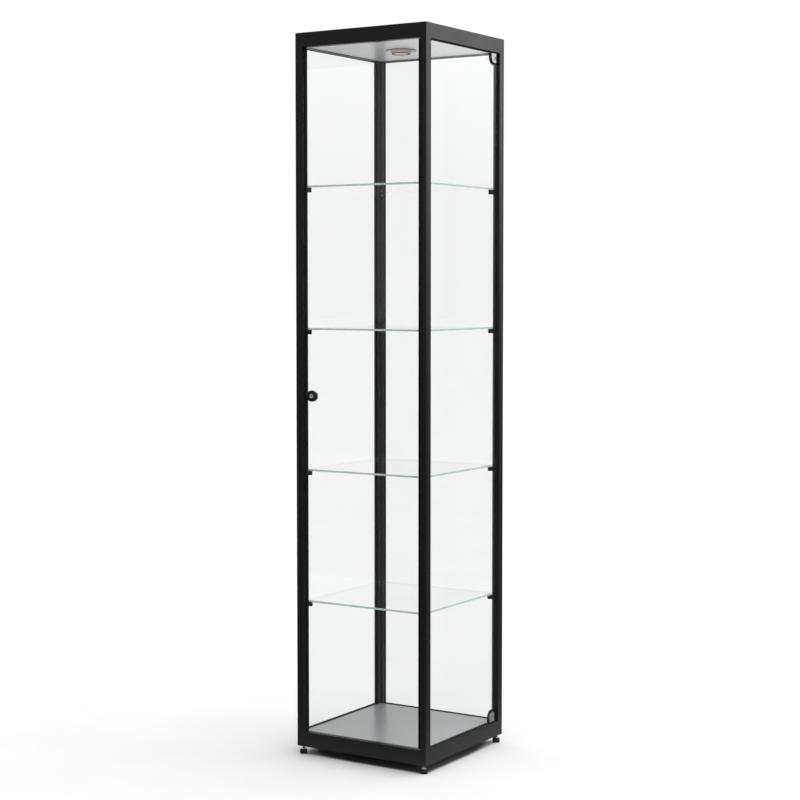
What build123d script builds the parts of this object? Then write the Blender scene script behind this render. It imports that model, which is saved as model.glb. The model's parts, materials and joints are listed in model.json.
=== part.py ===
"""Tall glass display case: black square frame, four glass shelves, two glass doors, a lock and a lamp.

Millimetres, +Z up. The origin is on the floor under the middle of the case, the front faces -Y.
"""
import os
from math import sqrt

from build123d import *

# Overall size
SIDE = 400.0
HEIGHT = 1900.0
FOOT_HEIGHT = 22.0
HALF = SIDE / 2

# Frame sections
POST = 24.0
POST_CHAMFER = 8.0
POST_BORE = 4.5
SLOT_WIDTH = 3.2
SLOT_DEPTH = 4.0
CAP = 2.0
RAIL = 16.0
RAIL_TOP = 38.0
RAIL_BOTTOM = 40.0
WALL = 2.0
LIP = 6.0
SHEET = 3.0

# Levels of the glazed opening
LOW = FOOT_HEIGHT + RAIL_BOTTOM
HIGH = HEIGHT - RAIL_TOP
SPAN = HALF - POST

# Glass and the groove that holds it, measured in from the outer faces
GLASS = 5.0
GLASS_IN = 5.5
GROOVE_IN = 4.5
GROOVE = 7.0
GROOVE_DEPTH = 6.0
RUN_FIT = 0.05

# Shelves
SHELF_TOPS = [FOOT_HEIGHT + level for level in (390.0, 739.0, 1111.0, 1483.0)]
SHELF_HALF = 184.0
SHELF_CUT = 12.5
CLIP_LENGTH = 13.5
CLIP_WIDTH = 12.0
CLIP_HEIGHT = 12.0

# Front door: slim stile turning on pins in the front right post
STILE_X = 179.4
STILE_Y = -196.0
STILE_R = 3.2
STILE_DEPTH = 8.0
REBATE_A = 16.8
REBATE_B = 13.2
DOOR_GAP = 3.0
EDGE_GAP = 1.5

# Lock on the front door
LOCK_X = -152.0
LOCK_Z = FOOT_HEIGHT + 933.0
LOCK_R = 15.0
PLUG_R = 6.0

# Right door: clamps with pins at its rear corners
PIVOT_X = 192.0
PIVOT_Y = 165.0
PIVOT_TAIL = 7.0
PIVOT_R = 2.5
CLAMP = 32.0
CLAMP_ROUND = 20.0
PLATE_INSET = 4.0
CLAMP_PLATE = 4.5
PAD = 0.5

# Ceiling lamp
LAMP_R = 25.0
LAMP_AXIS_Z = HIGH + 4.0
LAMP_LOW = HIGH - 7.0
LENS_RECESS = 6.0
LENS = 2.0
BEZEL = 1.5
TRIM_R = 40.0
TRIM_BORE = 29.0

# Feet
PAD_R = 10.0
PAD_HEIGHT = 12.0
STEM_R = 3.5
STEM_SEAT = 5.0
STEM_TOP = 42.0
STEM_HEX = 11.0
STEM_HEX_HEIGHT = 4.0

CORNERS = {
    "front_left": (-1, -1),
    "front_right": (1, -1),
    "back_left": (-1, 1),
    "back_right": (1, 1),
}
CUT = Mode.SUBTRACT
DIAGONAL_FACE = (2 * HALF - 2 * POST + POST_CHAMFER) / sqrt(2)

os.makedirs("parts", exist_ok=True)


def save(builder, label):
    """Name a finished piece and write it."""
    builder.part.label = label
    export_step(builder.part, f"parts/{label}.step")


def prism(points, low, high, mode=Mode.ADD):
    """Upright prism on a plan outline."""
    with BuildSketch(Plane.XY.offset(low)) as plan:
        with BuildLine():
            Polyline(*points, close=True)
        make_face()
    extrude(plan.sketch, amount=high - low, mode=mode)


def block(x, y, z, mode=Mode.ADD):
    """Box given by its three ranges."""
    prism([(x[0], y[0]), (x[1], y[0]), (x[1], y[1]), (x[0], y[1])], z[0], z[1], mode)


def rod(start, direction, radius, length, mode=Mode.ADD):
    """Round bar from a start point along a direction."""
    with BuildSketch(Plane(start, z_dir=direction)) as disc:
        Circle(radius)
    extrude(disc.sketch, amount=length, mode=mode)


def at_corner(corner, a, b):
    """Plan point given by its distances in from the two outer faces at a corner."""
    return corner[0] * (HALF - a), corner[1] * (HALF - b)


def on_diagonal(corner, out, across):
    """Plan point given by its distance out along a corner's diagonal and across it."""
    x, y = corner
    return (x * out - y * across) / sqrt(2), (y * out + x * across) / sqrt(2)


def corner_prism(corner, ranges, low, high, mode=Mode.ADD):
    """Upright box whose plan is given as distances in from the outer faces at a corner."""
    (a0, a1), (b0, b1) = ranges
    points = [at_corner(corner, a, b) for a, b in ((a0, b0), (a1, b0), (a1, b1), (a0, b1))]
    prism(points, low, high, mode)


def diagonal_prism(corner, out, half_width, low, high, mode=Mode.ADD):
    """Upright box lying along a corner's diagonal."""
    ends = ((out[0], -half_width), (out[1], -half_width), (out[1], half_width), (out[0], half_width))
    prism([on_diagonal(corner, along, across) for along, across in ends], low, high, mode)


def diagonal_rod(corner, out, radius, z, mode=Mode.ADD):
    """Level round bar along a corner's diagonal between two distances."""
    x, y = on_diagonal(corner, out[0], 0)
    rod((x, y, z), (corner[0], corner[1], 0), radius, out[1] - out[0], mode)


def post_outline(corner, low, high):
    """Square post section with an eased outer edge and a cut inner corner."""
    inner = POST - POST_CHAMFER
    section = ((0, 0), (POST, 0), (POST, inner), (inner, POST), (0, POST))
    with BuildSketch(Plane.XY.offset(low)) as plan:
        with BuildLine():
            Polyline(*[at_corner(corner, a, b) for a, b in section], close=True)
        make_face()
        outer = plan.vertices().sort_by_distance((*at_corner(corner, 0, 0), low))[0]
        fillet(outer, radius=1.2)
    extrude(plan.sketch, amount=high - low)


def panel_points(half, cut):
    """Square outline with its four corners cut off."""
    near = half - cut
    return [(near, -half), (half, -near), (half, near), (near, half),
            (-near, half), (-half, near), (-half, -near), (-near, -half)]


# ---------------------------------------------------------------- posts
GROOVE_RANGE = (GROOVE_IN, GROOVE_IN + GROOVE)
GROOVE_REACH = (POST - GROOVE_DEPTH, POST + 1)
BRACKET_Z = {"top": HIGH + 17.0, "bottom": FOOT_HEIGHT + 18.0}
BRACKET_HALF = 10.0
BRACKET = 3.0
BRACKET_END = 140.0
BRACKET_SCREW = 158.0
STRIKE_SCREWS = (LOCK_Z - 8, LOCK_Z + 8)

for place, corner in CORNERS.items():
    with BuildPart() as post:
        post_outline(corner, FOOT_HEIGHT + CAP, HEIGHT - CAP)
        centre = at_corner(corner, POST / 2, POST / 2)
        rod((*centre, FOOT_HEIGHT), (0, 0, 1), POST_BORE, HEIGHT, CUT)
        slot_range = (DIAGONAL_FACE - 1, DIAGONAL_FACE + SLOT_DEPTH)
        diagonal_prism(corner, slot_range, SLOT_WIDTH / 2, FOOT_HEIGHT, HEIGHT, CUT)
        corner_prism(corner, (GROOVE_RANGE, GROOVE_REACH), FOOT_HEIGHT, HEIGHT, CUT)
        if place != "front_right":
            corner_prism(corner, (GROOVE_REACH, GROOVE_RANGE), FOOT_HEIGHT, HEIGHT, CUT)
        for z in BRACKET_Z.values():
            diagonal_rod(corner, (DIAGONAL_FACE - 1, DIAGONAL_FACE + 6), 2.0, z, CUT)
        if place == "front_right":
            corner_prism(corner, ((REBATE_A, POST + 1), (-1, REBATE_B)), LOW, HIGH, CUT)
            rod((STILE_X, STILE_Y, HIGH), (0, 0, 1), 3.0, 8.0, CUT)
            rod((STILE_X, STILE_Y, LOW), (0, 0, -1), 3.0, 8.0, CUT)
    save(post, f"post_{place}")

with BuildPart() as post_caps:
    for corner in CORNERS.values():
        post_outline(corner, HEIGHT - CAP, HEIGHT)
        centre = at_corner(corner, POST / 2, POST / 2)
        rod((*centre, HEIGHT - CAP), (0, 0, -1), POST_BORE, 10.0)
save(post_caps, "post_caps")

with BuildPart() as foot_plates:
    for corner in CORNERS.values():
        post_outline(corner, FOOT_HEIGHT, FOOT_HEIGHT + CAP)
        centre = at_corner(corner, POST / 2, POST / 2)
        rod((*centre, FOOT_HEIGHT + CAP), (0, 0, 1), POST_BORE, 20.0)
        rod((*centre, FOOT_HEIGHT), (0, 0, 1), STEM_R + RUN_FIT, 30.0, CUT)
save(foot_plates, "foot_plates")


# ---------------------------------------------------------------- rails
def rail_box(side, inward, z, mode=Mode.ADD, reach=SPAN):
    """Bar along one side of the case, given by how far in from the outer face it runs."""
    near, far = HALF - inward[0], HALF - inward[1]
    if side in ("left", "right"):
        sign = 1 if side == "right" else -1
        block(sorted((sign * near, sign * far)), (-reach, reach), z, mode)
    else:
        sign = 1 if side == "back" else -1
        block((-reach, reach), sorted((sign * near, sign * far)), z, mode)


def rail_screw_holes(side, z):
    """Holes in the inner wall of a rail for its two bracket screws."""
    inner = HALF - RAIL
    for along in (-BRACKET_SCREW, BRACKET_SCREW):
        if side in ("left", "right"):
            sign = 1 if side == "right" else -1
            rod((sign * (inner - 1), along, z), (sign, 0, 0), 2.0, 5.0, CUT)
        else:
            sign = 1 if side == "back" else -1
            rod((along, sign * (inner - 1), z), (0, sign, 0), 2.0, 5.0, CUT)


SOLID_EDGE = 9.0
for side in ("front", "back", "left", "right"):
    with BuildPart() as rail_top:
        rail_box(side, (0, RAIL), (HIGH, HEIGHT))
        rail_box(side, (RAIL, RAIL + LIP), (HIGH, HIGH + WALL))
        rail_box(side, (RAIL, RAIL + LIP), (HEIGHT - 7, HEIGHT - 5))
        rail_box(side, (WALL, RAIL - WALL), (HIGH + SOLID_EDGE, HEIGHT - WALL), CUT)
        rail_box(side, GROOVE_RANGE, (HIGH - 1, HIGH + GROOVE_DEPTH), CUT)
        rail_screw_holes(side, BRACKET_Z["top"])
    save(rail_top, f"rail_top_{side}")

    with BuildPart() as rail_bottom:
        rail_box(side, (0, RAIL), (FOOT_HEIGHT, LOW))
        rail_box(side, (RAIL, RAIL + LIP), (LOW - SHEET - WALL, LOW - SHEET))
        rail_box(side, (WALL, RAIL - WALL), (FOOT_HEIGHT + WALL, LOW - SOLID_EDGE), CUT)
        rail_box(side, GROOVE_RANGE, (LOW - GROOVE_DEPTH, LOW + 1), CUT)
        rail_screw_holes(side, BRACKET_Z["bottom"])
    save(rail_bottom, f"rail_bottom_{side}")

# ---------------------------------------------------------------- corner brackets and their screws
BRACKET_FACE = HALF - RAIL
BEND = POST - POST_CHAMFER
BEND_OUT = HALF - POST
BEND_IN = BEND_OUT - BRACKET * (sqrt(2) - 1)


def bracket_points(corner):
    """Bent plate: a leg along each rail and a flat across the post's cut corner."""
    x, y = corner
    outer, inner = BRACKET_FACE, BRACKET_FACE - BRACKET
    path = ((outer, BRACKET_END), (outer, BEND_OUT), (BEND_OUT, outer), (BRACKET_END, outer),
            (BRACKET_END, inner), (BEND_IN, inner), (inner, BEND_IN), (inner, BRACKET_END))
    return [(x * a, y * b) for a, b in path]


with BuildPart() as corner_brackets:
    for corner in CORNERS.values():
        x, y = corner
        for z in BRACKET_Z.values():
            prism(bracket_points(corner), z - BRACKET_HALF, z + BRACKET_HALF)
            diagonal_rod(corner, (DIAGONAL_FACE - 6, DIAGONAL_FACE + 1), 2.0, z, CUT)
            rod((x * (BRACKET_FACE - 5), y * BRACKET_SCREW, z), (x, 0, 0), 2.0, 6.0, CUT)
            rod((x * BRACKET_SCREW, y * (BRACKET_FACE - 5), z), (0, y, 0), 2.0, 6.0, CUT)
save(corner_brackets, "corner_brackets")


def screw(head, direction, head_r, head_h, shank_r, shank_l):
    """Round-headed screw whose head starts at a point and whose shank follows it."""
    x, y, z = head
    length = sqrt(sum(part * part for part in direction))
    dx, dy, dz = (part / length * head_h for part in direction)
    rod(head, direction, head_r, head_h)
    rod((x + dx, y + dy, z + dz), direction, shank_r, shank_l)
    rod(head, direction, head_r / 2.5, head_h / 2, CUT)


with BuildPart() as bracket_screws:
    for corner in CORNERS.values():
        x, y = corner
        start = BRACKET_FACE - BRACKET - 2.5
        diagonal_start = on_diagonal(corner, DIAGONAL_FACE - BRACKET - 2.5, 0)
        for z in BRACKET_Z.values():
            screw((x * start, y * BRACKET_SCREW, z), (x, 0, 0), 3.5, 2.5, 2.0, 8.0)
            screw((x * BRACKET_SCREW, y * start, z), (0, y, 0), 3.5, 2.5, 2.0, 8.0)
            screw((*diagonal_start, z), (x, y, 0), 3.5, 2.5, 2.0, 8.0)
save(bracket_screws, "bracket_screws")

# ---------------------------------------------------------------- roof, ceiling and floor panels
PANEL_HALF = BRACKET_FACE - 0.4
PANEL_CUT = POST_CHAMFER
GROMMET_Y = 160.0

with BuildPart() as roof_panel:
    prism(panel_points(PANEL_HALF, PANEL_CUT), HEIGHT - 5, HEIGHT - 2)
    rod((0, GROMMET_Y, HEIGHT - 6), (0, 0, 1), 7.0, 6.0, CUT)
save(roof_panel, "roof_panel")

with BuildPart() as ceiling_panel:
    prism(panel_points(PANEL_HALF, PANEL_CUT), HIGH + WALL, HIGH + WALL + SHEET)
    rod((0, 0, HIGH), (0, 0, 1), TRIM_BORE + 6, 10.0, CUT)
save(ceiling_panel, "ceiling_panel")

with BuildPart() as floor_panel:
    prism(panel_points(PANEL_HALF, PANEL_CUT), LOW - SHEET, LOW)
save(floor_panel, "floor_panel")

with BuildPart() as roof_grommet:
    rod((0, GROMMET_Y, HEIGHT - 6.5), (0, 0, 1), 9.0, 1.5)
    rod((0, GROMMET_Y, HEIGHT - 5), (0, 0, 1), 7.0, 3.0)
    rod((0, GROMMET_Y, HEIGHT - 2), (0, 0, 1), 10.0, 1.5)
    rod((0, GROMMET_Y, HEIGHT - 7), (0, 0, 1), 4.0, 7.0, CUT)
save(roof_grommet, "roof_grommet")

# ---------------------------------------------------------------- fixed panes and their gaskets
PANE_RANGE = (GLASS_IN, GLASS_IN + GLASS)
PANE_REACH = SPAN + GROOVE_DEPTH - 1
GASKET_REACH = SPAN + GROOVE_DEPTH

for side in ("left", "back"):
    with BuildPart() as pane:
        rail_box(side, PANE_RANGE, (LOW - GROOVE_DEPTH + 1, HIGH + GROOVE_DEPTH - 1), reach=PANE_REACH)
    save(pane, f"pane_{side}")

with BuildPart() as pane_gaskets:
    for side in ("left", "back"):
        full = (LOW - GROOVE_DEPTH, HIGH + GROOVE_DEPTH)
        rail_box(side, GROOVE_RANGE, full, reach=GASKET_REACH)
        rail_box(side, GROOVE_RANGE, (LOW + 1, HIGH - 1), CUT, reach=SPAN - 1)
        rail_box(side, PANE_RANGE, (full[0] + 1, full[1] - 1), CUT, reach=PANE_REACH)
save(pane_gaskets, "pane_gaskets")

# ---------------------------------------------------------------- door seals
STOP_LIP = 5.5
FIN = 2.0
FIN_BACK = 13.0

with BuildPart() as seals_front:
    rail_box("front", GROOVE_RANGE, (HIGH, HIGH + GROOVE_DEPTH))
    rail_box("front", GROOVE_RANGE, (LOW - GROOVE_DEPTH, LOW))
    stop_z = (LOW + 0.5, HIGH - 0.5)
    corner_prism((-1, -1), ((POST - GROOVE_DEPTH, POST), GROOVE_RANGE), *stop_z)
    corner_prism((-1, -1), ((POST, POST + 1.1), (5.0, FIN_BACK)), *stop_z)
    corner_prism((-1, -1), ((POST, POST + STOP_LIP), (FIN_BACK - FIN, FIN_BACK)), *stop_z)
save(seals_front, "seals_front")

SEAL_END = 128.5
with BuildPart() as seals_right:
    strip_x = (HALF - GROOVE_IN - GROOVE, HALF - GROOVE_IN)
    block(strip_x, (-SPAN, SEAL_END), (HIGH - 3, HIGH + GROOVE_DEPTH))
    block(strip_x, (-SPAN, SEAL_END), (LOW - GROOVE_DEPTH, LOW + 3))
    door_z = (LOW + 3.5, HIGH - 3.5)
    corner_prism((1, -1), (GROOVE_RANGE, (POST - GROOVE_DEPTH, POST)), *door_z)
    corner_prism((1, -1), ((5.0, FIN_BACK), (POST, POST + 1.1)), *door_z)
    corner_prism((1, -1), ((FIN_BACK - FIN, FIN_BACK), (POST, POST + STOP_LIP)), *door_z)
    corner_prism((1, 1), (GROOVE_RANGE, (POST - GROOVE_DEPTH, POST)), LOW, HIGH)
save(seals_right, "seals_right")

# ---------------------------------------------------------------- bearings for both doors
with BuildPart() as door_bearings:
    for start, up in ((HIGH, 1), (LOW, -1)):
        rod((STILE_X, STILE_Y, start), (0, 0, up), 3.0, 8.0)
        rod((STILE_X, STILE_Y, start), (0, 0, up), 1.5 + RUN_FIT, 8.0, CUT)
    for z in ((HIGH, HIGH + GROOVE_DEPTH), (LOW - GROOVE_DEPTH, LOW)):
        block(strip_x, (SEAL_END + 0.5, SPAN), z)
        rod((PIVOT_X, PIVOT_Y, z[0]), (0, 0, 1), PIVOT_R + RUN_FIT, GROOVE_DEPTH, CUT)
save(door_bearings, "door_bearings")

# ---------------------------------------------------------------- shelves, clips and slot screws
for number, top in enumerate(SHELF_TOPS, start=1):
    with BuildPart() as shelf:
        prism(panel_points(SHELF_HALF, SHELF_CUT), top - GLASS, top)
    save(shelf, f"shelf_{number}")

CLIP_FRONT = DIAGONAL_FACE - CLIP_LENGTH
CLIP_SEAT = CLIP_FRONT + 3.0

with BuildPart() as shelf_clips:
    for corner in CORNERS.values():
        for top in SHELF_TOPS:
            high = top - GLASS
            low = high - CLIP_HEIGHT
            middle = (high + low) / 2
            half = CLIP_WIDTH / 2
            outline = ((DIAGONAL_FACE, -half), (DIAGONAL_FACE, half), (CLIP_FRONT + 3, half),
                       (CLIP_FRONT, half - 3), (CLIP_FRONT, 3 - half), (CLIP_FRONT + 3, -half))
            prism([on_diagonal(corner, along, across) for along, across in outline], low, high)
            diagonal_rod(corner, (CLIP_FRONT - 1, CLIP_SEAT), 3.1, middle, CUT)
            diagonal_rod(corner, (CLIP_SEAT - 1, DIAGONAL_FACE + 1), 1.5, middle, CUT)
save(shelf_clips, "shelf_clips")

STRIKE = 2.5
STRIKE_HALF = 15.0
STRIKE_FRONT = 13.2
STRIKE_LIP = 12.5
LIP_HALF = 7.0

with BuildPart() as slot_screws:
    for corner in CORNERS.values():
        for top in SHELF_TOPS:
            middle = top - GLASS - CLIP_HEIGHT / 2
            start = (*on_diagonal(corner, CLIP_SEAT - 2.0, 0), middle)
            screw(start, (*corner, 0), 3.0, 2.0, 1.5, DIAGONAL_FACE + 3.5 - CLIP_SEAT)
    for z in STRIKE_SCREWS:
        start = (*on_diagonal((-1, -1), DIAGONAL_FACE - STRIKE - 2.0, 0), z)
        screw(start, (-1, -1, 0), 3.0, 2.0, 1.5, STRIKE + 3.5)
save(slot_screws, "slot_screws")

with BuildPart() as lock_strike:
    back = POST - POST_CHAMFER
    inset = STRIKE / sqrt(2)
    outline = ((POST, STRIKE_FRONT), (POST + inset, STRIKE_FRONT), (POST + inset, back + inset),
               (back + inset, POST + inset), (back, POST), (POST, back))
    points = [at_corner((-1, -1), a, b) for a, b in outline]
    prism(points, LOCK_Z - STRIKE_HALF, LOCK_Z + STRIKE_HALF)
    block((-SPAN, -SPAN + STRIKE_LIP), (STRIKE_FRONT - HALF, back - 0.2 - HALF),
          (LOCK_Z - LIP_HALF, LOCK_Z + LIP_HALF))
    for z in STRIKE_SCREWS:
        diagonal_rod((-1, -1), (DIAGONAL_FACE - 6, DIAGONAL_FACE + 1), 1.5, z, CUT)
save(lock_strike, "lock_strike")

# ---------------------------------------------------------------- front door
GLASS_Y = (-HALF + GLASS_IN, -HALF + GLASS_IN + GLASS)

with BuildPart() as front_glass:
    block((-SPAN + EDGE_GAP, STILE_X + 1.0), GLASS_Y, (LOW + DOOR_GAP, HIGH - DOOR_GAP))
    rod((LOCK_X, -HALF, LOCK_Z), (0, 1, 0), 10.0, 20.0, CUT)
save(front_glass, "front_glass")


def stile_section(low, high):
    """Stile outline: a round nose on the turning axis and a square back."""
    rod((STILE_X, STILE_Y, low), (0, 0, 1), STILE_R, high - low)
    block((STILE_X - STILE_R, STILE_X + STILE_R), (STILE_Y, STILE_Y + STILE_DEPTH), (low, high))


STILE_LOW = LOW + DOOR_GAP - 0.4
STILE_HIGH = HIGH - DOOR_GAP + 0.4
with BuildPart() as front_stile:
    stile_section(STILE_LOW, STILE_HIGH)
    block((STILE_X - 5, STILE_X + 1.2), (GLASS_Y[0] - 0.05, GLASS_Y[1] + 0.05),
          (STILE_LOW - 1, STILE_HIGH + 1), CUT)
save(front_stile, "front_stile")

with BuildPart() as stile_pivots:
    stile_section(STILE_LOW - 2.0, STILE_LOW)
    rod((STILE_X, STILE_Y, STILE_LOW - 2.0), (0, 0, -1), 1.5, 7.0)
    stile_section(STILE_HIGH, STILE_HIGH + 2.0)
    rod((STILE_X, STILE_Y, STILE_HIGH + 2.0), (0, 0, 1), 1.5, 7.0)
save(stile_pivots, "stile_pivots")

# ---------------------------------------------------------------- lock
ROSETTE = 5.1
SLEEVE_END = -HALF + 15.2

with BuildPart() as lock_housing:
    rod((LOCK_X, GLASS_Y[0], LOCK_Z), (0, -1, 0), LOCK_R, ROSETTE)
    rim = lock_housing.faces().sort_by(Axis.Y)[0].edges()
    fillet(rim, radius=2.0)
    rod((LOCK_X, GLASS_Y[0], LOCK_Z), (0, 1, 0), 9.0, SLEEVE_END - GLASS_Y[0])
    rod((LOCK_X, -HALF, LOCK_Z), (0, 1, 0), PLUG_R + RUN_FIT, 30.0, CUT)
save(lock_housing, "lock_housing")

with BuildPart() as lock_nut:
    with BuildSketch(Plane((LOCK_X, GLASS_Y[1], LOCK_Z), z_dir=(0, 1, 0))):
        RegularPolygon(14.0, 6)
        Circle(9.0, mode=Mode.SUBTRACT)
    extrude(amount=2.5)
save(lock_nut, "lock_nut")

CAM_Y = SLEEVE_END + 0.9
with BuildPart() as lock_plug:
    rod((LOCK_X, -HALF + 0.1, LOCK_Z), (0, 1, 0), PLUG_R, SLEEVE_END + HALF - 0.1)
    block((LOCK_X - 3, LOCK_X + 3), (SLEEVE_END, CAM_Y + 2), (LOCK_Z - 3, LOCK_Z + 3))
    block((LOCK_X - 0.8, LOCK_X + 0.8), (-HALF, -HALF + 3), (LOCK_Z - 3.5, LOCK_Z + 3.5), CUT)
    rod((LOCK_X, CAM_Y + 2, LOCK_Z), (0, -1, 0), 1.5, 6.0, CUT)
save(lock_plug, "lock_plug")

with BuildPart() as lock_cam:
    with BuildSketch(Plane((LOCK_X, CAM_Y, LOCK_Z), x_dir=(1, 0, 0), z_dir=(0, 1, 0))) as cam_plan:
        with Locations((0, 3.75)):
            SlotOverall(21.5, 12, rotation=90)
        Rectangle(6, 6, mode=Mode.SUBTRACT)
    extrude(amount=2.0)
save(lock_cam, "lock_cam")

with BuildPart() as cam_screw:
    screw((LOCK_X, CAM_Y + 4, LOCK_Z), (0, -1, 0), 4.0, 2.0, 1.5, 5.5)
save(cam_screw, "cam_screw")

# ---------------------------------------------------------------- right door
GLASS_X = (HALF - GLASS_IN - GLASS, HALF - GLASS_IN)
BODY_Y = (PIVOT_Y + PIVOT_TAIL - 28.0, PIVOT_Y + PIVOT_TAIL)
PLATE_Y = (PIVOT_Y - 35.0, PIVOT_Y - 4.0)
BOLT_Y = PIVOT_Y - 14.0
BOLT_IN = 16.5
BOLT_SINK = 1.0
BOLT_HEAD = 2.8
ENDS = ((HIGH, -1), (LOW, 1))

with BuildPart() as right_glass:
    block(GLASS_X, (-SPAN + EDGE_GAP, BODY_Y[1]), (LOW + DOOR_GAP + 1, HIGH - DOOR_GAP - 1))
    for edge, inward in ENDS:
        rod((HALF, BOLT_Y, edge + inward * BOLT_IN), (-1, 0, 0), 4.0, 20.0, CUT)
save(right_glass, "right_glass")


def clamp_plate(edge, inward, x, thickness, span, inset=0.0):
    """Clamp outline with one well rounded corner, standing upright at a glass corner."""
    near = edge + inward * (0.6 + inset)
    far = edge + inward * (0.6 + CLAMP - inset)
    left, right = span[0] + inset, span[1] - inset
    with BuildSketch(Plane((x, 0, 0), x_dir=(0, 1, 0), z_dir=(1, 0, 0))) as face:
        with Locations(((left + right) / 2, (near + far) / 2)):
            Rectangle(right - left, abs(far - near))
        tip = face.vertices().sort_by_distance((left, far, 0))
        fillet(tip[0], radius=CLAMP_ROUND - inset)
    extrude(face.sketch, amount=thickness)


with BuildPart() as hinge_bodies:
    for edge, inward in ENDS:
        clamp_plate(edge, inward, GLASS_X[0] - PAD - CLAMP_PLATE, CLAMP_PLATE, BODY_Y)
        bridge = sorted((edge + inward * 0.6, edge + inward * 3.6))
        block((GLASS_X[0] - PAD - 1, GLASS_X[1] + PAD - 0.1), (PIVOT_Y - 9, PIVOT_Y + PIVOT_TAIL - 1), bridge)
        rod((PIVOT_X, PIVOT_Y, edge + inward * 0.7), (0, 0, -inward), PIVOT_R, 5.7)
        rod((GLASS_X[0], BOLT_Y, edge + inward * BOLT_IN), (-1, 0, 0), 2.5, 4.0, CUT)
save(hinge_bodies, "hinge_bodies")

with BuildPart() as hinge_plates:
    for edge, inward in ENDS:
        clamp_plate(edge, inward, GLASS_X[1] + PAD, CLAMP_PLATE, PLATE_Y, PLATE_INSET)
        middle = (GLASS_X[1], BOLT_Y, edge + inward * BOLT_IN)
        rod(middle, (1, 0, 0), 2.5, 8.0, CUT)
        rod((HALF - BOLT_SINK - BOLT_HEAD, *middle[1:]), (1, 0, 0), 5.6, 5.0, CUT)
save(hinge_plates, "hinge_plates")

with BuildPart() as hinge_pads:
    for edge, inward in ENDS:
        for x, span in ((GLASS_X[0] - PAD, BODY_Y), (GLASS_X[1], PLATE_Y)):
            clamp_plate(edge, inward, x, PAD, span)
            bridge = sorted((edge, edge + inward * 4.0))
            block((x - 1, x + 1), (PIVOT_Y - 10, BODY_Y[1] + 1), bridge, CUT)
            rod((x - 1, BOLT_Y, edge + inward * BOLT_IN), (1, 0, 0), 4.0, 3.0, CUT)
save(hinge_pads, "hinge_pads")

with BuildPart() as hinge_bolts:
    for edge, inward in ENDS:
        head = (HALF - BOLT_SINK, BOLT_Y, edge + inward * BOLT_IN)
        screw(head, (-1, 0, 0), 5.5, BOLT_HEAD, 2.5, 10.0)
save(hinge_bolts, "hinge_bolts")

# ---------------------------------------------------------------- ceiling lamp
PANEL_LOW = HIGH + WALL
PANEL_TOP = PANEL_LOW + SHEET
SLEEVE_R = TRIM_BORE + 5.5

with BuildPart() as lamp_trim:
    rod((0, 0, HIGH + 0.4), (0, 0, 1), TRIM_R, PANEL_LOW - HIGH - 0.4)
    rod((0, 0, PANEL_LOW), (0, 0, 1), SLEEVE_R, 10.0)
    rod((0, 0, HIGH), (0, 0, 1), TRIM_BORE, 20.0, CUT)
    rod((-TRIM_R, 0, LAMP_AXIS_Z), (1, 0, 0), 1.5 + RUN_FIT, 2 * TRIM_R, CUT)
save(lamp_trim, "lamp_trim")

with BuildPart() as lamp_springs:
    for side in (-1, 1):
        block((-5, 5), sorted((side * (SLEEVE_R + 0.3), side * (SLEEVE_R + 1.5))),
              (PANEL_TOP, PANEL_LOW + 10))
        block((-5, 5), sorted((side * (SLEEVE_R + 0.3), side * (SLEEVE_R + 18))),
              (PANEL_TOP, PANEL_TOP + 1))
save(lamp_springs, "lamp_springs")

with BuildPart() as lamp_head:
    rod((0, 0, LAMP_LOW), (0, 0, 1), LAMP_R, 22.0)
    rod((0, 0, LAMP_LOW), (0, 0, 1), LAMP_R - 4, LENS_RECESS + LENS, CUT)
    for fin_y in (-16, -8, 0, 8, 16):
        block((-LAMP_R, LAMP_R), (fin_y - 1.5, fin_y + 1.5), (HIGH + 8, HIGH + 16), CUT)
    for side in (-1, 1):
        rod((side * (LAMP_R - 3), 0, LAMP_AXIS_Z), (side, 0, 0), 1.5, 11.0)
save(lamp_head, "lamp_head")

with BuildPart() as lamp_bezel:
    rod((0, 0, LAMP_LOW), (0, 0, -1), LAMP_R + 0.5, BEZEL)
    rod((0, 0, LAMP_LOW), (0, 0, -1), LAMP_R - 4, BEZEL, CUT)
    chamfer(lamp_bezel.faces().sort_by(Axis.Z)[0].edges(), length=0.5)
save(lamp_bezel, "lamp_bezel")

with BuildPart() as lamp_lens:
    rod((0, 0, LAMP_LOW + LENS_RECESS), (0, 0, 1), LAMP_R - 4, LENS)
save(lamp_lens, "lamp_lens")

with BuildPart() as lamp_driver:
    block((-60, 60), (100, 140), (PANEL_TOP, PANEL_TOP + 22))
    fillet(lamp_driver.edges().filter_by(Axis.Z), radius=4.0)
save(lamp_driver, "lamp_driver")

# ---------------------------------------------------------------- levelling feet
for place, corner in CORNERS.items():
    centre = at_corner(corner, POST / 2, POST / 2)
    with BuildPart() as foot_pad:
        rod((*centre, 0), (0, 0, 1), PAD_R, PAD_HEIGHT)
        chamfer(foot_pad.edges().filter_by(GeomType.CIRCLE), length=1.2)
        rod((*centre, PAD_HEIGHT), (0, 0, -1), STEM_R, STEM_SEAT, CUT)
    save(foot_pad, f"foot_pad_{place}")

    with BuildPart() as foot_stem:
        stem_low = PAD_HEIGHT - STEM_SEAT
        rod((*centre, stem_low), (0, 0, 1), STEM_R, STEM_TOP - stem_low)
        with BuildSketch(Plane((*centre, PAD_HEIGHT))) as hexagon:
            RegularPolygon(STEM_HEX / 2, 6, major_radius=False)
        extrude(hexagon.sketch, amount=STEM_HEX_HEIGHT)
    save(foot_stem, f"foot_stem_{place}")
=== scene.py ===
"""Looks of the glass display case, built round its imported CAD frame. Lengths are in metres."""
import json
import math

import bmesh
import bpy
from mathutils import Matrix, Vector

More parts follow.
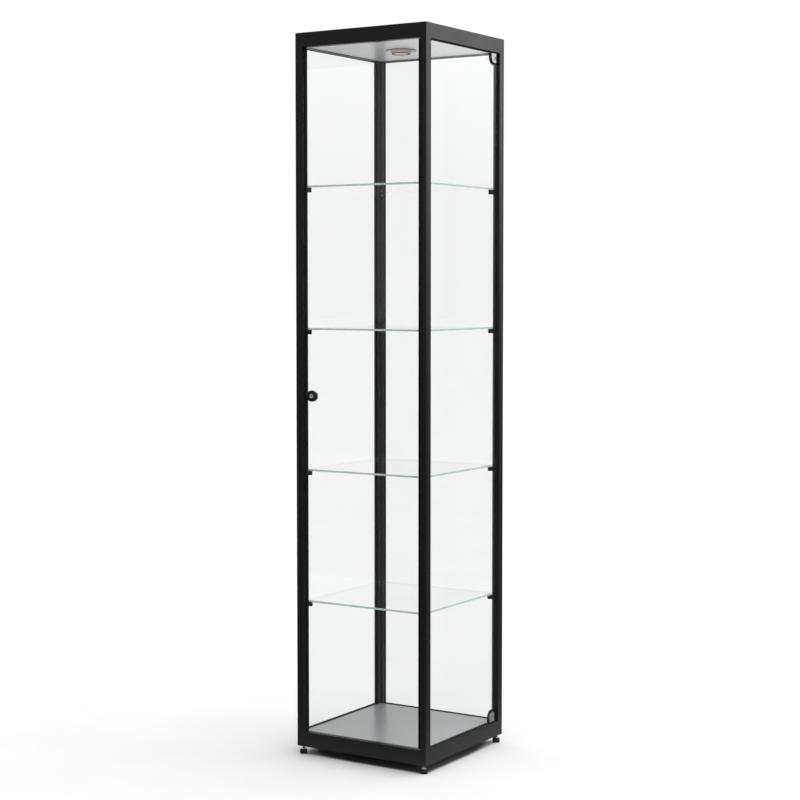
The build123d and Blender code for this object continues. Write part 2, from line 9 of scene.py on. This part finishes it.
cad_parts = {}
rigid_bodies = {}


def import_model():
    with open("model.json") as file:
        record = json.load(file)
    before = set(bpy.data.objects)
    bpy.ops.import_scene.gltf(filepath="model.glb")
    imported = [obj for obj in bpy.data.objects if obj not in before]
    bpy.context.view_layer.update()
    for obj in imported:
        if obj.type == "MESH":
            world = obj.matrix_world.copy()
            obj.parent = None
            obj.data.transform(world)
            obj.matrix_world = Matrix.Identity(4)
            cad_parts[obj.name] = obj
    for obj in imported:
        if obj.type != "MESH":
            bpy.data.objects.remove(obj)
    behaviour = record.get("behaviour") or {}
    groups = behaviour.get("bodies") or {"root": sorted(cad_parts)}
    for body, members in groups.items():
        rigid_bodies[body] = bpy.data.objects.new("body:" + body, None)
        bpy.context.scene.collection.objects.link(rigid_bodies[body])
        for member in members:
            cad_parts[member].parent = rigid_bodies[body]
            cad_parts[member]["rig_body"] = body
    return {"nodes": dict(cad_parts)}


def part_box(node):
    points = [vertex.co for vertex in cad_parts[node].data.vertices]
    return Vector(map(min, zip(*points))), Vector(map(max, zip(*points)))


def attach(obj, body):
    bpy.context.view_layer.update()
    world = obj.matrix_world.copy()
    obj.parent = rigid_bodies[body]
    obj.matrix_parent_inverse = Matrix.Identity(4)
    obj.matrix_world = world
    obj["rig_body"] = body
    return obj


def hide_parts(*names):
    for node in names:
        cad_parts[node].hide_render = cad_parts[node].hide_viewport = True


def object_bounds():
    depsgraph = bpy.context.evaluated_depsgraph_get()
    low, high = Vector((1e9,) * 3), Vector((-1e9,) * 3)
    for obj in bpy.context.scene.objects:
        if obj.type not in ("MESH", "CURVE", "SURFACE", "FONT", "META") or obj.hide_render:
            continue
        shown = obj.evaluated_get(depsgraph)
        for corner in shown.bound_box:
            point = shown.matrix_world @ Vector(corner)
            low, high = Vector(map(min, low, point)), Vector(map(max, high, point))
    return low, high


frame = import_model()
NODES = frame["nodes"]
CAD_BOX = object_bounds()

# ---------------------------------------------------------------- node tree helper


class Look:
    """The nodes of one procedural material, or of the world, with short calls to add them."""

    def __init__(self, name, world=None):
        self.owner = world or bpy.data.materials.new(name)
        self.owner.use_nodes = True
        self.tree = self.owner.node_tree
        self.tree.nodes.clear()
        self.output = self.add(f"ShaderNodeOutput{'World' if world else 'Material'}")
        self.place = self.add("ShaderNodeTexCoord").outputs["Object"]

    def add(self, kind, **settings):
        """A new node with these settings."""
        node = self.tree.nodes.new(kind)
        for key, value in settings.items():
            setattr(node, key, value)
        return node

    def feed(self, node, values):
        """Set each named input to a value, or link it if the value is another node's output."""
        for key, value in values.items():
            if isinstance(value, bpy.types.NodeSocket):
                self.tree.links.new(value, node.inputs[key])
            else:
                node.inputs[key].default_value = value
        return node

    def stretched(self, scale, shift=(0, 0, 0)):
        """Object coordinates stretched by a scale for each axis."""
        node = self.add("ShaderNodeMapping")
        self.feed(node, {"Vector": self.place, "Scale": scale, "Location": shift})
        return node.outputs["Vector"]

    def noise(self, scale, detail=3.0, roughness=0.55, place=None):
        """A cloudy value from 0 to 1."""
        node = self.add("ShaderNodeTexNoise")
        values = {"Vector": place or self.place, "Scale": scale, "Detail": detail}
        self.feed(node, {**values, "Roughness": roughness})
        return node.outputs["Fac"]

    def cells(self, scale):
        """A pattern of small cells: the whole node, for its Distance and Color."""
        return self.feed(self.add("ShaderNodeTexVoronoi"), {"Vector": self.place, "Scale": scale})

    def ramp(self, factor, stops):
        """A colour ramp through (position, colour) stops; a plain number stands for a grey."""
        node = self.add("ShaderNodeValToRGB")
        elements = node.color_ramp.elements
        while len(elements) < len(stops):
            elements.new(0.5)
        for element, (position, colour) in zip(elements, stops):
            grey = isinstance(colour, (int, float))
            element.position = position
            element.color = (colour,) * 3 + (1,) if grey else (*colour, 1)
        self.feed(node, {"Fac": factor})
        return node.outputs["Color"]

    def maths(self, operation, *values):
        """One sum on numbers or on other nodes' outputs."""
        node = self.add("ShaderNodeMath", operation=operation)
        self.feed(node, dict(enumerate(values)))
        return node.outputs[0]

    def blend(self, factor, first, second, how="MIX"):
        """Two colours mixed by a factor."""
        node = self.add("ShaderNodeMix", data_type="RGBA", blend_type=how)
        for key, value in ((0, factor), (6, first), (7, second)):
            if isinstance(value, bpy.types.NodeSocket):
                self.tree.links.new(value, node.inputs[key])
            else:
                node.inputs[key].default_value = value if key == 0 else (*value, 1)
        return node.outputs[2]

    def bump(self, height, strength, distance, under=None):
        """A normal that shows the height as relief, on top of another relief if one is given."""
        node = self.add("ShaderNodeBump")
        self.feed(node, {"Height": height, "Strength": strength, "Distance": distance})
        if under is not None:
            self.feed(node, {"Normal": under})
        return node.outputs["Normal"]

    def axes(self):
        """The X, Y and Z outputs of the object coordinates."""
        node = self.add("ShaderNodeSeparateXYZ")
        return self.feed(node, {0: self.place}).outputs

    def reach(self, place):
        """The distance of a place from the origin."""
        node = self.add("ShaderNodeVectorMath", operation="LENGTH")
        return self.feed(node, {0: place}).outputs["Value"]

    def mix(self, share, first, second):
        """Two shaders mixed by a share."""
        node = self.add("ShaderNodeMixShader")
        return self.feed(node, {0: share, 1: first, 2: second}).outputs[0]

    def surface(self, values):
        """The Principled shader with these inputs, sent to the output."""
        node = self.add("ShaderNodeBsdfPrincipled")
        self.feed(node, values)
        self.finish(node.outputs[0])
        return node

    def finish(self, shader):
        """Send a shader to the output."""
        self.tree.links.new(shader, self.output.inputs["Surface"])


# ---------------------------------------------------------------- materials


def speckled(look, base, spread, scale):
    """A colour that drifts by the spread: broad clouds with a fine speckle over them."""
    low = tuple(c * (1 - spread) for c in base)
    high = tuple(c * (1 + spread) for c in base)
    clouds = look.ramp(look.noise(6.0, 4.0), [(0.32, low), (0.68, high)])
    fine = look.ramp(look.noise(scale, 2.0), [(0.35, 1 - spread), (0.7, 1.0)])
    return look.blend(1.0, clouds, fine, "MULTIPLY")


COAT_GRAIN = 900.0
COAT_PEEL = 0.10


def coated(name, base, rough=(0.285, 0.36), spread=0.12, index=1.5):
    """Powder coat: orange peel over a fine grain, with wiped patches of changing gloss."""
    look = Look(name)
    wiped = look.noise(9.0, 5.0, 0.6, look.stretched((1.0, 1.0, 0.35)))
    fine = look.noise(COAT_GRAIN * 2.4, 2.0)
    orange = look.noise(COAT_GRAIN, 1.5, 0.4)
    gloss = look.ramp(look.blend(0.25, wiped, fine), [(0.3, rough[0]), (0.7, rough[1])])
    broad = look.bump(orange, COAT_PEEL, 0.0006)
    normal = look.bump(fine, COAT_PEEL * 0.7, 0.0002, broad)
    colour = speckled(look, base, spread, COAT_GRAIN * 1.6)
    look.surface({"Base Color": colour, "Roughness": gloss, "Normal": normal, "IOR": index})
    return look.owner


MOULD_GRAIN = 1500.0
MOULD_DEPTH = 0.16


def moulded(name, base, rough=(0.42, 0.56)):
    """Moulded plastic with a spark-eroded texture and faint flow clouds."""
    look = Look(name)
    pits = look.cells(MOULD_GRAIN).outputs["Distance"]
    fine = look.noise(MOULD_GRAIN * 1.3, 3.0)
    gloss = look.ramp(look.noise(40.0, 3.0), [(0.3, rough[0]), (0.7, rough[1])])
    broad = look.bump(pits, MOULD_DEPTH, 0.0003)
    normal = look.bump(fine, MOULD_DEPTH * 0.6, 0.0002, broad)
    colour = speckled(look, base, 0.14, MOULD_GRAIN)
    look.surface({"Base Color": colour, "Roughness": gloss, "Normal": normal, "IOR": 1.46})
    return look.owner


def rubber(name, base):
    """Extruded rubber: dull, with draw lines along its length and a dusty bloom."""
    look = Look(name)
    lines = look.noise(500.0, 2.0, 0.5, look.stretched((1.0, 1.0, 0.02)))
    bloom = look.noise(60.0, 5.0, 0.65)
    gloss = look.ramp(bloom, [(0.3, 0.62), (0.7, 0.82)])
    normal = look.bump(look.noise(2500.0, 2.0), 0.2, 0.0002, look.bump(lines, 0.15, 0.0003))
    low = look.ramp(bloom, [(0.35, base), (0.75, tuple(c * 1.9 for c in base))])
    look.surface({"Base Color": low, "Roughness": gloss, "Normal": normal, "IOR": 1.5})
    return look.owner


BOARD_REACH = 0.18
BOARD_GLOSS = (0.285, 0.32)


def laminate(name, base, right_edge_painted_light):
    """Satin grey board with a fine pearl texture, with painted light: its colour grows lighter
    towards its right edge.
    """
    look = Look(name)
    pearl = look.noise(1400.0, 2.0)
    fine = look.noise(2600.0, 2.0)
    gloss = look.ramp(look.noise(14.0, 5.0, 0.6), [(0.3, BOARD_GLOSS[0]), (0.7, BOARD_GLOSS[1])])
    normal = look.bump(fine, 0.05, 0.0001, look.bump(pearl, 0.06, 0.0002))
    plain = speckled(look, base, 0.04, 1800.0)
    # painted light: the board's colour is multiplied up towards its right edge
    right = look.maths("MULTIPLY_ADD", look.axes()["X"], 1 / (2 * BOARD_REACH), 0.5)
    colour = look.blend(1.0, plain, look.ramp(right, [(0.0, 1.0), (1.0, right_edge_painted_light)]), "MULTIPLY")
    look.surface({"Base Color": colour, "Roughness": gloss, "Normal": normal, "IOR": 1.5})
    return look.owner


METAL_GRAIN = 900.0


def metal(name, base, rough=(0.2, 0.34), shine=1.0):
    """Bare or plated metal with a fine grain and cloudy gloss."""
    look = Look(name)
    grain = look.noise(METAL_GRAIN, 3.0, 0.6)
    mixed = look.blend(0.5, grain, look.noise(120.0, 4.0, 0.6))
    gloss = look.ramp(mixed, [(0.3, rough[0]), (0.7, rough[1])])
    normal = look.bump(grain, 0.08, 0.0002)
    colour = speckled(look, base, 0.08, METAL_GRAIN)
    values = {"Base Color": colour, "Roughness": gloss, "Normal": normal}
    look.surface({**values, "Metallic": shine})
    return look.owner


def spangled(name, base):
    """Zinc plating: a faint crystal pattern with dull and bright grains."""
    look = Look(name)
    grains = look.cells(420.0)
    tone = look.add("ShaderNodeSeparateColor")
    look.feed(tone, {0: grains.outputs["Color"]})
    gloss = look.ramp(tone.outputs[0], [(0.1, 0.28), (0.9, 0.42)])
    dim = tuple(c * 0.82 for c in base)
    colour = look.ramp(tone.outputs[1], [(0.1, dim), (0.9, base)])
    normal = look.bump(look.noise(1800.0), 0.1, 0.0002)
    values = {"Base Color": colour, "Roughness": gloss, "Normal": normal}
    look.surface({**values, "Metallic": 1.0})
    return look.owner


GLASS_IOR = 1.5
GLASS_TINT = (0.988, 0.991, 0.989)
GLASS_CLOUD = (0.983, 0.987, 0.985)
SHELF_EDGE = (0.60, 0.74, 0.69)
# the upright panes' edges: the glass's green edge painted near-black, a painted shade
PANE_EDGE_PAINTED_SHADE = (0.02, 0.05, 0.042)
EDGE_CLEAR = 0.85


def glass_face(look, clear, backs, gloss):
    """The broad faces: clear, with a faint reflection that grows towards a grazing view."""
    index = look.maths("MULTIPLY_ADD", backs, 1 / GLASS_IOR - GLASS_IOR, GLASS_IOR)
    sheen = look.feed(look.add("ShaderNodeFresnel"), {"IOR": index}).outputs[0]
    normal = look.bump(look.noise(3.0, 1.0), 0.02, 0.002)
    smear = look.ramp(look.noise(18.0, 5.0, 0.65), [(0.35, 0.0), (0.75, 0.05)])
    values = {"Color": (1, 1, 1, 1), "Roughness": smear, "Normal": normal}
    mirror = look.feed(look.add("ShaderNodeBsdfGlossy"), values).outputs[0]
    return look.mix(look.maths("MULTIPLY", sheen, gloss), clear, mirror)


def glass_edge(look, clear, backs, green):
    """The ground edges: green from outside, painted near-black as shade on the upright panes, and
    mostly clear from inside the glass.
    """
    ground = look.noise(700.0, 3.0, 0.6)
    dim = tuple(c * 0.72 for c in green)
    tint = look.ramp(look.noise(60.0, 3.0), [(0.3, dim), (0.7, green)])
    rough = look.ramp(ground, [(0.3, 0.12), (0.7, 0.3)])
    values = {"Base Color": tint, "Roughness": rough, "Normal": look.bump(ground, 0.12, 0.0003)}
    edge = look.feed(look.add("ShaderNodeBsdfPrincipled"), {**values, "IOR": GLASS_IOR})
    return look.mix(look.maths("MULTIPLY", backs, EDGE_CLEAR), edge.outputs[0], clear)


def glass(name, axis, green, gloss):
    """Clear float glass whose broad faces look along one axis, with ground edges."""
    look = Look(name)
    backs = look.add("ShaderNodeNewGeometry").outputs["Backfacing"]
    haze = look.ramp(look.noise(5.0, 4.0, 0.6), [(0.3, GLASS_TINT), (0.8, GLASS_CLOUD)])
    clear = look.feed(look.add("ShaderNodeBsdfTransparent"), {"Color": haze}).outputs[0]
    parts = look.add("ShaderNodeSeparateXYZ")
    look.feed(parts, {0: look.add("ShaderNodeTexCoord").outputs["Normal"]})
    broad = look.maths("GREATER_THAN", look.maths("ABSOLUTE", parts.outputs[axis]), 0.5)
    edge = glass_edge(look, clear, backs, green)
    look.finish(look.mix(broad, edge, glass_face(look, clear, backs, gloss)))
    return look.owner


def radial(look, node_name):
    """The distance from the middle of a round node: 0 at its centre, 1 at its rim."""
    low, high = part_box(node_name)
    centred = look.stretched((1, 1, 0), (-(low.x + high.x) / 2, -(low.y + high.y) / 2, 0))
    return look.maths("DIVIDE", look.reach(centred), (high.x - low.x) / 2)


def beaded(name, node_name, face, bead):
    """A satin trim ring with a darker bead round its outside."""
    look = Look(name)
    across = radial(look, node_name)
    grain = look.noise(900.0, 3.0)
    light = look.ramp(grain, [(0.3, tuple(c * 0.92 for c in face)), (0.7, face)])
    dark = look.ramp(grain, [(0.3, tuple(c * 0.85 for c in bead)), (0.7, bead)])
    rim = look.ramp(across, [(0.93, 0.0), (0.95, 1.0)])
    gloss = look.ramp(look.noise(60.0, 3.0), [(0.3, 0.38), (0.7, 0.5)])
    normal = look.bump(grain, 0.12, 0.0003)
    look.surface({"Base Color": look.blend(rim, light, dark), "Roughness": gloss,
                  "Normal": normal, "IOR": 1.4})
    return look.owner


def glowing(name, colour, strength):
    """A lit lamp lens: warm light that is stronger in its middle, through fine prisms."""
    look = Look(name)
    across = radial(look, "lamp_lens")
    power = look.ramp(across, [(0.0, 1.0), (0.75, 0.75), (1.0, 0.35)])
    prisms = look.cells(900.0).outputs["Distance"]
    tint = look.ramp(look.noise(300.0), [(0.3, colour), (0.7, tuple(c * 0.94 for c in colour))])
    values = {"Base Color": tint, "Roughness": look.ramp(prisms, [(0.0, 0.2), (1.0, 0.4)])}
    values["Emission Color"] = tint
    values["Emission Strength"] = look.maths("MULTIPLY", power, strength)
    look.surface({**values, "Normal": look.bump(prisms, 0.3, 0.0003)})
    return look.owner


BLACK = (0.0032, 0.0032, 0.0037)
LOOKS = {
    "frame_black": coated("frame_black", BLACK),
    "panel_black": coated("panel_black", BLACK, rough=(0.4, 0.5)),
    # the door stile: near-black with a weak, dull reflection, partly its own matte finish and partly
    # painted shade of the gap beside the post
    "stile_black": coated("stile_black", (0.0008, 0.0008, 0.0009), rough=(0.5, 0.6), index=1.12),
    "hinge_black": coated("hinge_black", (0.007, 0.007, 0.0075)),
    "lock_black": coated("lock_black", (0.004, 0.004, 0.0045)),
    "lamp_black": coated("lamp_black", (0.020, 0.018, 0.016), rough=(0.40, 0.50), index=1.3),
    "cap_black": moulded("cap_black", (0.014, 0.014, 0.015)),
    "nylon_black": moulded("nylon_black", (0.016, 0.016, 0.017)),
    "clip_black": moulded("clip_black", (0.0012, 0.0012, 0.0014), rough=(0.55, 0.65)),
    "driver_black": moulded("driver_black", (0.02, 0.02, 0.022)),
    "foot_black": moulded("foot_black", (0.0035, 0.0035, 0.0038)),
    "rubber_black": rubber("rubber_black", (0.010, 0.010, 0.011)),
    "panel_grey": laminate("panel_grey", (0.35, 0.35, 0.358), 1.9),
    "steel_zinc": spangled("steel_zinc", (0.62, 0.63, 0.65)),
    "screw_steel": metal("screw_steel", (0.60, 0.60, 0.62)),
    "lock_metal": metal("lock_metal", (0.66, 0.65, 0.63), rough=(0.36, 0.46), shine=0.75),
    "chrome_bright": metal("chrome_bright", (0.50, 0.50, 0.515), rough=(0.285, 0.36)),
    "lamp_metal": coated("lamp_metal", (0.64, 0.58, 0.52), rough=(0.36, 0.46), spread=0.04),
    "stem_steel": metal("stem_steel", (0.72, 0.72, 0.73), rough=(0.14, 0.26)),
    "lamp_light": glowing("lamp_light", (1.0, 0.90, 0.74), 1.2),
}
GLASS_AXES = {"front_glass": "Y", "pane_back": "Y", "right_glass": "X", "pane_left": "X"}
GLASS_KINDS = {"X": (PANE_EDGE_PAINTED_SHADE, 0.3), "Y": (PANE_EDGE_PAINTED_SHADE, 0.8), "Z": (SHELF_EDGE, 0.8)}
GLASS_LOOKS = {axis: glass(f"glass_{axis}", axis, *kind) for axis, kind in GLASS_KINDS.items()}
OWN_LOOKS = {
    "floor_panel": laminate("floor_board", (0.25, 0.252, 0.26), 1.3),
    # the far left post: the frame's black coat painted lighter, painted light for the light it
    # catches behind two panes
    "post_back_left": coated("frame_black_painted_lighter", (0.020, 0.020, 0.021)),
    "lamp_trim": beaded("trim_ring", "lamp_trim", (0.46, 0.425, 0.39), (0.022, 0.020, 0.019)),
    "lock_cam": metal("cam_zinc", (0.78, 0.79, 0.80), rough=(0.4, 0.5), shine=0.3),
}


def dress(node):
    """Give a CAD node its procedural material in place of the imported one."""
    for slot in node.material_slots:
        packed = slot.material.name.split(".")[0]
        if packed == "glass_clear":
            slot.material = GLASS_LOOKS[GLASS_AXES.get(node.name, "Z")]
        elif node.name in OWN_LOOKS:
            slot.material = OWN_LOOKS[node.name]
        else:
            slot.material = LOOKS[packed]


for cad_node in NODES.values():
    dress(cad_node)

# ---------------------------------------------------------------- turned and threaded pieces

SIDES = 48
SHARP = math.radians(32)
THREAD_STEPS = 6


def ring(height, radius):
    """Points round the Z axis at a height. The radius is a number or a function of the turn."""
    points = []
    for side in range(SIDES):
        turn = 2 * math.pi * side / SIDES
        reach = radius(turn) if callable(radius) else radius
        points.append(Vector((reach * math.cos(turn), reach * math.sin(turn), height)))
    return points


def turned(profile):
    """Rings for a profile of (radius, height) pairs."""
    return [ring(height, radius) for radius, height in profile]


def hexagon(across):
    """Radius of a hexagon at any turn, from the width across its flats."""
    sector = math.pi / 3
    return lambda turn: across / 2 / math.cos(turn % sector - sector / 2)


def thread(radius, depth, pitch, low, high):
    """Rings of a screw thread between two heights, with plain ends."""
    rings = [ring(low, radius - depth)]
    count = int((high - low) / pitch * THREAD_STEPS)

    def groove(height):
        def reach(turn):
            phase = (height / pitch - turn / (2 * math.pi)) % 1.0
            return radius - depth * abs(2 * phase - 1)

        return reach

    for step in range(1, count):
        height = low + (high - low) * step / count
        rings.append(ring(height, groove(height)))
    return rings + [ring(high, radius - depth)]


def skin(name, shells, look):
    """One object made of closed shells, each a list of rings with a matrix that places it."""
    work = bmesh.new()
    for rings, place in shells:
        layers = [[work.verts.new(place @ point) for point in points] for points in rings]
        for lower, upper in zip(layers, layers[1:]):
            for side in range(SIDES):
                follow = (side + 1) % SIDES
                work.faces.new((lower[side], lower[follow], upper[follow], upper[side]))
        work.faces.new(list(reversed(layers[0])))
        work.faces.new(layers[-1])
    bmesh.ops.recalc_face_normals(work, faces=work.faces)
    for face in work.faces:
        face.smooth = True
    for edge in work.edges:
        edge.smooth = edge.calc_face_angle(0.0) < SHARP
    mesh = bpy.data.meshes.new(name)
    work.to_mesh(mesh)
    work.free()
    mesh.materials.append(LOOKS[look])
    piece = bpy.data.objects.new(name, mesh)
    bpy.context.scene.collection.objects.link(piece)
    return piece


def stand_in(piece, node):
    """Ride on the node's body and stand for the node."""
    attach(piece, NODES[node]["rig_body"])
    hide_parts(node)


def millimetres(profile):
    """A profile written in millimetres, in metres."""
    return [(radius / 1000, height / 1000) for radius, height in profile]


PAD_BASE = [(0.5, 0.0), (8.6, 0.0), (9.5, 0.3), (9.9, 1.0), (10.0, 2.2), (10.0, 8.4)]
PAD_TOP = [(9.8, 9.6), (9.1, 10.9), (8.0, 11.6), (6.6, 11.95), (3.6, 12.0)]
HEX_ACROSS = 0.011
HEX_FACE = 0.0052
HEX_HEIGHTS = (0.0120, 0.0124, 0.0155, 0.0160)
STEM_R = 0.0035
STEM_DEPTH = 0.00045
STEM_PITCH = 0.00125


def foot(corner):
    """A screw foot: a turned pad, and a threaded stem with a hexagon to turn it by."""
    low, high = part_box(f"foot_pad_{corner}")
    place = Matrix.Translation(((low.x + high.x) / 2, (low.y + high.y) / 2, low.z))
    rings = turned(millimetres(PAD_BASE + PAD_TOP))
    pad = skin(f"foot_turned_{corner}", [(rings, place)], "foot_black")
    stand_in(pad, f"foot_pad_{corner}")
    stem_low, stem_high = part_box(f"foot_stem_{corner}")
    bottom, lower, upper, top = HEX_HEIGHTS
    rings = [ring(stem_low.z, STEM_R), ring(bottom, STEM_R), ring(bottom, HEX_FACE)]
    rings += [ring(height, hexagon(HEX_ACROSS)) for height in (lower, upper)]
    rings += [ring(top, HEX_FACE), ring(top, STEM_R)]
    rings += thread(STEM_R, STEM_DEPTH, STEM_PITCH, top + STEM_PITCH / 2, stem_high.z)
    level = Matrix.Translation((place.translation.x, place.translation.y, 0))
    stem = skin(f"foot_thread_{corner}", [(rings, level)], "stem_steel")
    stand_in(stem, f"foot_stem_{corner}")


BOLT_SHANK = [(2.4, -9.9), (2.5, -9.7), (2.5, 0.0)]
BOLT_HEAD = [(5.2, 0.0), (5.5, 0.3), (5.5, 1.6), (5.1, 2.2), (4.3, 2.6), (3.2, 2.8)]
BOLT_SOCKET = 0.0040
BOLT_DEPTHS = (0.0028, 0.0010)


def clamp_bolts():
    """Button-head bolts with a hexagon socket, one in each clamp of the side door."""
    low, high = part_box("hinge_bolts")
    head = BOLT_HEAD[-1][1] / 1000
    radius = BOLT_HEAD[1][0] / 1000
    outward = Matrix.Rotation(math.pi / 2, 4, "Y")
    shells = []
    for height in (low.z + radius, high.z - radius):
        middle = Matrix.Translation((high.x - head, (low.y + high.y) / 2, height))
        rings = turned(millimetres(BOLT_SHANK + BOLT_HEAD))
        rings += [ring(depth, hexagon(BOLT_SOCKET)) for depth in BOLT_DEPTHS]
        shells.append((rings, middle @ outward))
    stand_in(skin("clamp_bolts", shells, "chrome_bright"), "hinge_bolts")


LENS_RIBS = 7
LENS_SAG = 0.0008
LENS_TOOTH = 0.00025
LENS_RIM = 0.97
LENS_MIDDLE = 0.2


def lamp_lens():
    """A shallow lens with concentric ribs on its lower face."""
    low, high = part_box("lamp_lens")
    radius = (high.x - low.x) / 2
    rings = [ring(high.z, radius * LENS_MIDDLE), ring(high.z, radius), ring(low.z + LENS_SAG, radius)]
    for rib in range(LENS_RIBS * 2, 1, -1):
        reach = radius * LENS_RIM * rib / (LENS_RIBS * 2)
        sag = LENS_SAG * (reach / radius) ** 2
        rings.append(ring(low.z + sag + LENS_TOOTH * (rib % 2), reach))
    middle = Matrix.Translation(((low.x + high.x) / 2, (low.y + high.y) / 2, 0))
    stand_in(skin("lens_ribbed", [(rings, middle)], "lamp_light"), "lamp_lens")


for corner_name in ("front_left", "front_right", "back_left", "back_right"):
    foot(corner_name)
clamp_bolts()
lamp_lens()

# ---------------------------------------------------------------- stage, lights and camera

FLOOR_RADIUS = 60.0
FLOOR_RINGS = 24
FLOOR_SIDES = 96
FLOOR_TONES = (0.80, 0.83)
# painted contact shadow under the case: its soft edge, its darkness, and the two corners where it
# lets light in
UNDER_EDGE = 0.012
UNDER_SHADE = 0.22
LEAK_REACH = (0.22, 0.36)
DIM_SHARE = (0.86, 0.90)
DIM_REACH = (0.8, 6.0)
DIM_START = 0.5


def floor_mesh():
    """A round floor whose rings lie closer together near the case."""
    mesh = bpy.data.meshes.new("floor")
    work = bmesh.new()
    turns = [2 * math.pi * side / FLOOR_SIDES for side in range(FLOOR_SIDES)]
    rings = []
    for step in range(1, FLOOR_RINGS + 1):
        radius = FLOOR_RADIUS * (step / FLOOR_RINGS) ** 3
        points = [(radius * math.cos(turn), radius * math.sin(turn), 0) for turn in turns]
        rings.append([work.verts.new(point) for point in points])
    middle = work.verts.new((0, 0, 0))
    for side in range(FLOOR_SIDES):
        follow = (side + 1) % FLOOR_SIDES
        work.faces.new((middle, rings[0][side], rings[0][follow]))
        for inner, outer in zip(rings, rings[1:]):
            work.faces.new((inner[side], outer[side], outer[follow], inner[follow]))
    work.to_mesh(mesh)
    work.free()
    return mesh


def painted_contact_shadow(look):
    """A painted contact shadow in the floor's colour: dark under the case, but for two corners where
    light leaks in.
    """
    spot = look.axes()
    across, along = (look.maths("ABSOLUTE", spot[axis]) for axis in "XY")
    inside = look.maths("SUBTRACT", CAD_BOX[1][0], look.maths("MAXIMUM", across, along))
    near = look.maths("DIVIDE", inside, UNDER_EDGE)
    diagonal = look.maths("ABSOLUTE", look.maths("ADD", spot["X"], spot["Y"]))
    away = look.ramp(diagonal, [(LEAK_REACH[0], 1.0), (LEAK_REACH[1], 0.0)])
    return look.ramp(look.maths("MULTIPLY", near, away), [(0.0, 1.0), (1.0, UNDER_SHADE)])


def dimmed(look):
    """How far the floor darkens in reflections: only in front and to the right, more when far."""
    spot = look.axes()
    right = look.ramp(spot["X"], [(0.0, 0.0), (DIM_START, 1.0)])
    ahead = look.maths("MULTIPLY", spot["Y"], -1.0)
    where = look.maths("MAXIMUM", right, look.ramp(ahead, [(0.0, 0.0), (DIM_START, 1.0)]))
    far = look.feed(look.add("ShaderNodeMapRange"), {
        "Value": look.reach(look.place), "From Min": DIM_REACH[0], "From Max": DIM_REACH[1],
        "To Min": DIM_SHARE[0], "To Max": DIM_SHARE[1]})
    mirrored = look.add("ShaderNodeLightPath").outputs["Is Glossy Ray"]
    return look.maths("MULTIPLY", where, look.maths("MULTIPLY", mirrored, far.outputs[0]))


def pale_floor():
    """A wide pale floor with a faint mottle, a painted contact shadow under the case, and darker in
    reflections.
    """
    look = Look("floor_pale")
    low, high = FLOOR_TONES
    plain = look.ramp(look.noise(3.0, 4.0), [(0.3, low), (0.7, high)])
    # the floor's colour carries the painted contact shadow under the case
    tone = look.blend(1.0, plain, painted_contact_shadow(look), "MULTIPLY")
    normal = look.bump(look.noise(400.0, 3.0), 0.04, 0.0005)
    gloss = look.ramp(look.noise(8.0), [(0.3, 0.6), (0.7, 0.7)])
    values = {"Base Color": tone, "Roughness": gloss, "Normal": normal}
    pale = look.surface({**values, "Specular IOR Level": 0.0})
    dark = look.feed(look.add("ShaderNodeBsdfDiffuse"), {"Color": (0.0, 0.0, 0.0, 1.0)})
    look.finish(look.mix(dimmed(look), pale.outputs[0], dark.outputs[0]))
    mesh = floor_mesh()
    mesh.materials.append(look.owner)
    floor = bpy.data.objects.new("floor", mesh)
    bpy.context.scene.collection.objects.link(floor)


SEEN_WHITE = (1.02, 1.02, 1.02)
PLAIN_WHITE = (1.0, 1.0, 1.0)
SKY_TALL = [(0.0, 0.5), (0.42, 0.4), (0.48, 0.16), (0.525, 0.22), (0.56, 2.0)]
SKY_RIGHT = [(0.50, 0.0), (0.68, 1.0)]
SKY_DEEP = [(0.12, 0.30), (0.42, 0.34), (0.62, 1.0)]


def studio_world():
    """White to the camera. To the case: darker in front, and to its right dark at eye level."""
    world = bpy.data.worlds.new("studio")
    bpy.context.scene.world = world
    look = Look("studio", world)
    way = look.add("ShaderNodeSeparateXYZ")
    look.feed(way, {0: look.add("ShaderNodeTexCoord").outputs["Generated"]})
    side, depth, height = (look.maths("MULTIPLY_ADD", way.outputs[axis], 0.5, 0.5) for axis in "XYZ")
    level = look.blend(look.ramp(side, SKY_RIGHT), PLAIN_WHITE, look.ramp(height, SKY_TALL))
    shade = look.blend(1.0, level, look.ramp(depth, SKY_DEEP), "MULTIPLY")
    seen = look.add("ShaderNodeLightPath").outputs["Is Camera Ray"]
    colour = look.blend(seen, shade, SEEN_WHITE)
    sky = look.feed(look.add("ShaderNodeBackground"), {"Color": colour, "Strength": 1.0})
    look.finish(sky.outputs[0])


SUN_POWER = 1.3
SUN_WIDTH = 70
SUN_TILT = (12, 10, 0)


def soft_sun():
    """Even light from above that keeps the floor white."""
    light = bpy.data.lights.new("overhead", "SUN")
    light.energy = SUN_POWER
    light.angle = math.radians(SUN_WIDTH)
    lamp = bpy.data.objects.new("overhead", light)
    lamp.rotation_euler = [math.radians(turn) for turn in SUN_TILT]
    bpy.context.scene.collection.objects.link(lamp)


CAMERA_PLACE = (2.5586, -4.0555, 1.2464)
CAMERA_YAW = 32.28
CAMERA_PITCH = 3.284
CAMERA_LENS = 81.035
CAMERA_SENSOR = 36.0
CAMERA_SHIFT = -0.015


def place_camera():
    """A camera at the photograph's viewing angle."""
    data = bpy.data.cameras.new("camera")
    data.lens = CAMERA_LENS
    data.sensor_width = CAMERA_SENSOR
    data.shift_y = CAMERA_SHIFT
    camera = bpy.data.objects.new("camera", data)
    camera.location = CAMERA_PLACE
    camera.rotation_euler = (math.radians(90 - CAMERA_PITCH), 0, math.radians(CAMERA_YAW))
    bpy.context.scene.collection.objects.link(camera)
    bpy.context.scene.camera = camera


GLASS_LAYERS = 32

pale_floor()
studio_world()
soft_sun()
place_camera()
scene = bpy.context.scene
scene.view_settings.view_transform = "Standard"
scene.view_settings.look = "None"
scene.cycles.transparent_max_bounces = GLASS_LAYERS
